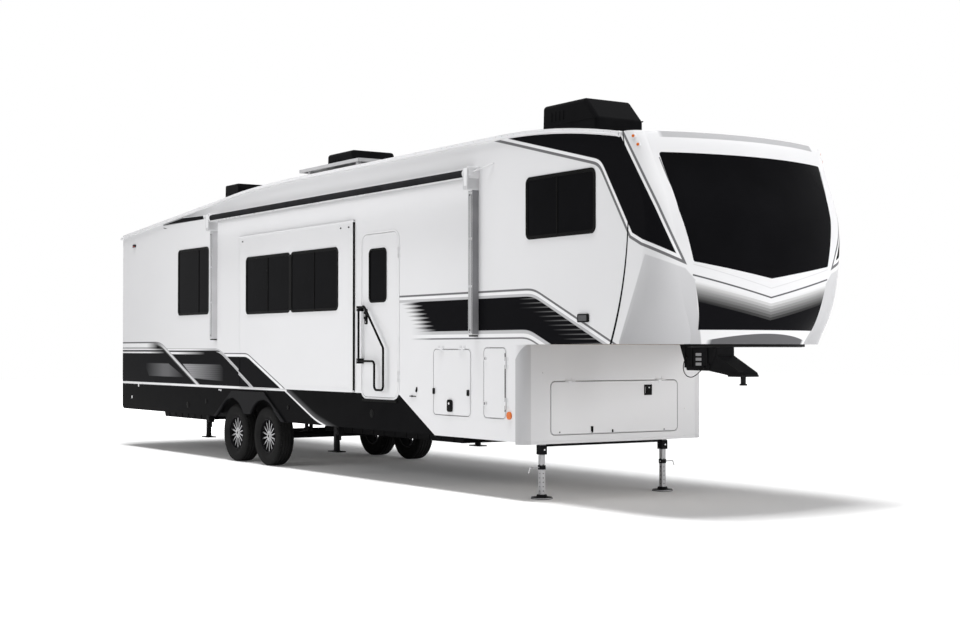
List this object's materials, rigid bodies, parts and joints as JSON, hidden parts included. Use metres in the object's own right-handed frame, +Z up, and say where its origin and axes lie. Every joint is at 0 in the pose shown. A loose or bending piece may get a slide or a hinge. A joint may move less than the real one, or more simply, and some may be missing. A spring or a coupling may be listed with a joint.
{
  "type": "fifth wheel trailer",
  "caption": "Fifth wheel travel trailer with raised front cap, tandem axles, slide-out rooms, entry and baggage doors, awning and landing legs.",
  "frame": {"origin": "on the ground, under the middle of the whole trailer", "axes": "+X forward to the kingpin, +Y to the off side, +Z up; the door side is -Y"},
  "size_m": [13.492, 2.62, 4.185],
  "materials": {
    "white_wall": "gloss",
    "grey_moulding": "satin",
    "roof_skin": "matt",
    "floor_board": "satin",
    "dark_skirt": "satin",
    "dark_glass": "gloss",
    "black_trim": "satin",
    "black_steel": "satin",
    "grey_steel": "satin",
    "light_alloy": "satin",
    "awning_cloth": "matt",
    "tyre": "matt",
    "alloy_rim": "machined",
    "black_housing": "matt",
    "amber_lens": "gloss",
    "red_lens": "gloss"
  },
  "bodies": {
    "root": {"air_conditioner_front": "black_housing", "air_conditioner_middle": "black_housing", "awning_arms": "light_alloy", "awning_roller": "awning_cloth", "axles": "black_steel", "bedroom_floor": "floor_board", "bulkhead": "floor_board", "chassis_rails": "black_steel", "cross_members": "black_steel", "door_hinges": "grey_steel", "door_side_skirt": "dark_skirt", "door_side_wall": "white_wall", "front_cap": "white_wall", "kingpin": "grey_steel", "landing_leg_bar": "black_steel", "landing_legs": "grey_steel", "leaf_springs": "black_steel", "lower_front_cap": "grey_moulding", "main_floor": "floor_board", "marker_lamps": "amber_lens", "off_side_skirt": "dark_skirt", "off_side_wall": "white_wall", "pin_box": "black_steel", "rear_bumper": "black_steel", "rear_skirt": "dark_skirt", "rear_wall": "white_wall", "roof": "roof_skin", "roof_vent": "black_housing", "slide_runners": "black_steel", "spring_hangers": "black_steel", "stabilizer_jacks": "black_steel", "storage_floor": "floor_board", "tail_lamps": "red_lens", "wall_window_frames": "black_trim", "wall_window_glass": "dark_glass", "windshield": "dark_glass"},
    "door_side_front_wheel": {"door_side_front_tyre": "tyre", "door_side_front_rim": "alloy_rim"},
    "door_side_rear_wheel": {"door_side_rear_tyre": "tyre", "door_side_rear_rim": "alloy_rim"},
    "off_side_front_wheel": {"off_side_front_tyre": "tyre", "off_side_front_rim": "alloy_rim"},
    "off_side_rear_wheel": {"off_side_rear_tyre": "tyre", "off_side_rear_rim": "alloy_rim"},
    "door_side_slide_out": {"door_side_slide_room": "white_wall", "door_side_slide_window_frames": "black_trim", "door_side_slide_window_glass": "dark_glass"},
    "off_side_slide_out": {"off_side_slide_room": "white_wall", "off_side_slide_window_frames": "black_trim", "off_side_slide_window_glass": "dark_glass"},
    "entry_door": {"entry_door": "white_wall", "entry_door_window_frame": "black_trim", "entry_door_glass": "dark_glass", "entry_door_latch": "black_trim", "grab_handle": "black_trim"},
    "door_side_large_door": {"door_side_large_baggage_door": "white_wall"},
    "door_side_narrow_door": {"door_side_narrow_baggage_door": "white_wall"},
    "off_side_large_door": {"off_side_large_baggage_door": "white_wall"},
    "off_side_narrow_door": {"off_side_narrow_baggage_door": "white_wall"},
    "front_storage_door": {"front_baggage_door": "grey_moulding"}
  },
  "joints": [
    {"name": "door_side_front_wheel_spin", "type": "hinge", "parent": "root", "child": "door_side_front_wheel", "pos_m": [-1.452, -1.0775, 0.391], "axis": [0, 1, 0], "continuous": true},
    {"name": "door_side_rear_wheel_spin", "type": "hinge", "parent": "root", "child": "door_side_rear_wheel", "pos_m": [-2.432, -1.0775, 0.391], "axis": [0, 1, 0], "continuous": true},
    {"name": "off_side_front_wheel_spin", "type": "hinge", "parent": "root", "child": "off_side_front_wheel", "pos_m": [-1.452, 1.0775, 0.391], "axis": [0, 1, 0], "continuous": true},
    {"name": "off_side_rear_wheel_spin", "type": "hinge", "parent": "root", "child": "off_side_rear_wheel", "pos_m": [-2.432, 1.0775, 0.391], "axis": [0, 1, 0], "continuous": true},
    {"name": "door_side_slide", "type": "slide", "parent": "root", "child": "door_side_slide_out", "axis": [0, -1, 0], "range_m": [0, 0.85]},
    {"name": "off_side_slide", "type": "slide", "parent": "root", "child": "off_side_slide_out", "axis": [0, 1, 0], "range_m": [0, 0.85]},
    {"name": "entry_door_swing", "type": "hinge", "parent": "root", "child": "entry_door", "pos_m": [2.025, -1.23, 1.936], "axis": [0, 0, 1], "range_deg": [0, 120]},
    {"name": "door_side_large_door_swing", "type": "hinge", "parent": "root", "child": "door_side_large_door", "pos_m": [3.1435, -1.23, 1.545], "axis": [-1, 0, 0], "range_deg": [0, 165]},
    {"name": "door_side_narrow_door_swing", "type": "hinge", "parent": "root", "child": "door_side_narrow_door", "pos_m": [4.175, -1.23, 1.1915], "axis": [0, 0, 1], "range_deg": [0, 120]},
    {"name": "off_side_large_door_swing", "type": "hinge", "parent": "root", "child": "off_side_large_door", "pos_m": [3.1435, 1.23, 1.545], "axis": [1, 0, 0], "range_deg": [0, 165]},
    {"name": "off_side_narrow_door_swing", "type": "hinge", "parent": "root", "child": "off_side_narrow_door", "pos_m": [4.175, 1.23, 1.1915], "axis": [0, 0, -1], "range_deg": [0, 120]},
    {"name": "front_storage_door_swing", "type": "hinge", "parent": "root", "child": "front_storage_door", "pos_m": [4.445, 0, 1.215], "axis": [0, -1, 0], "range_deg": [0, 100]}
  ]
}
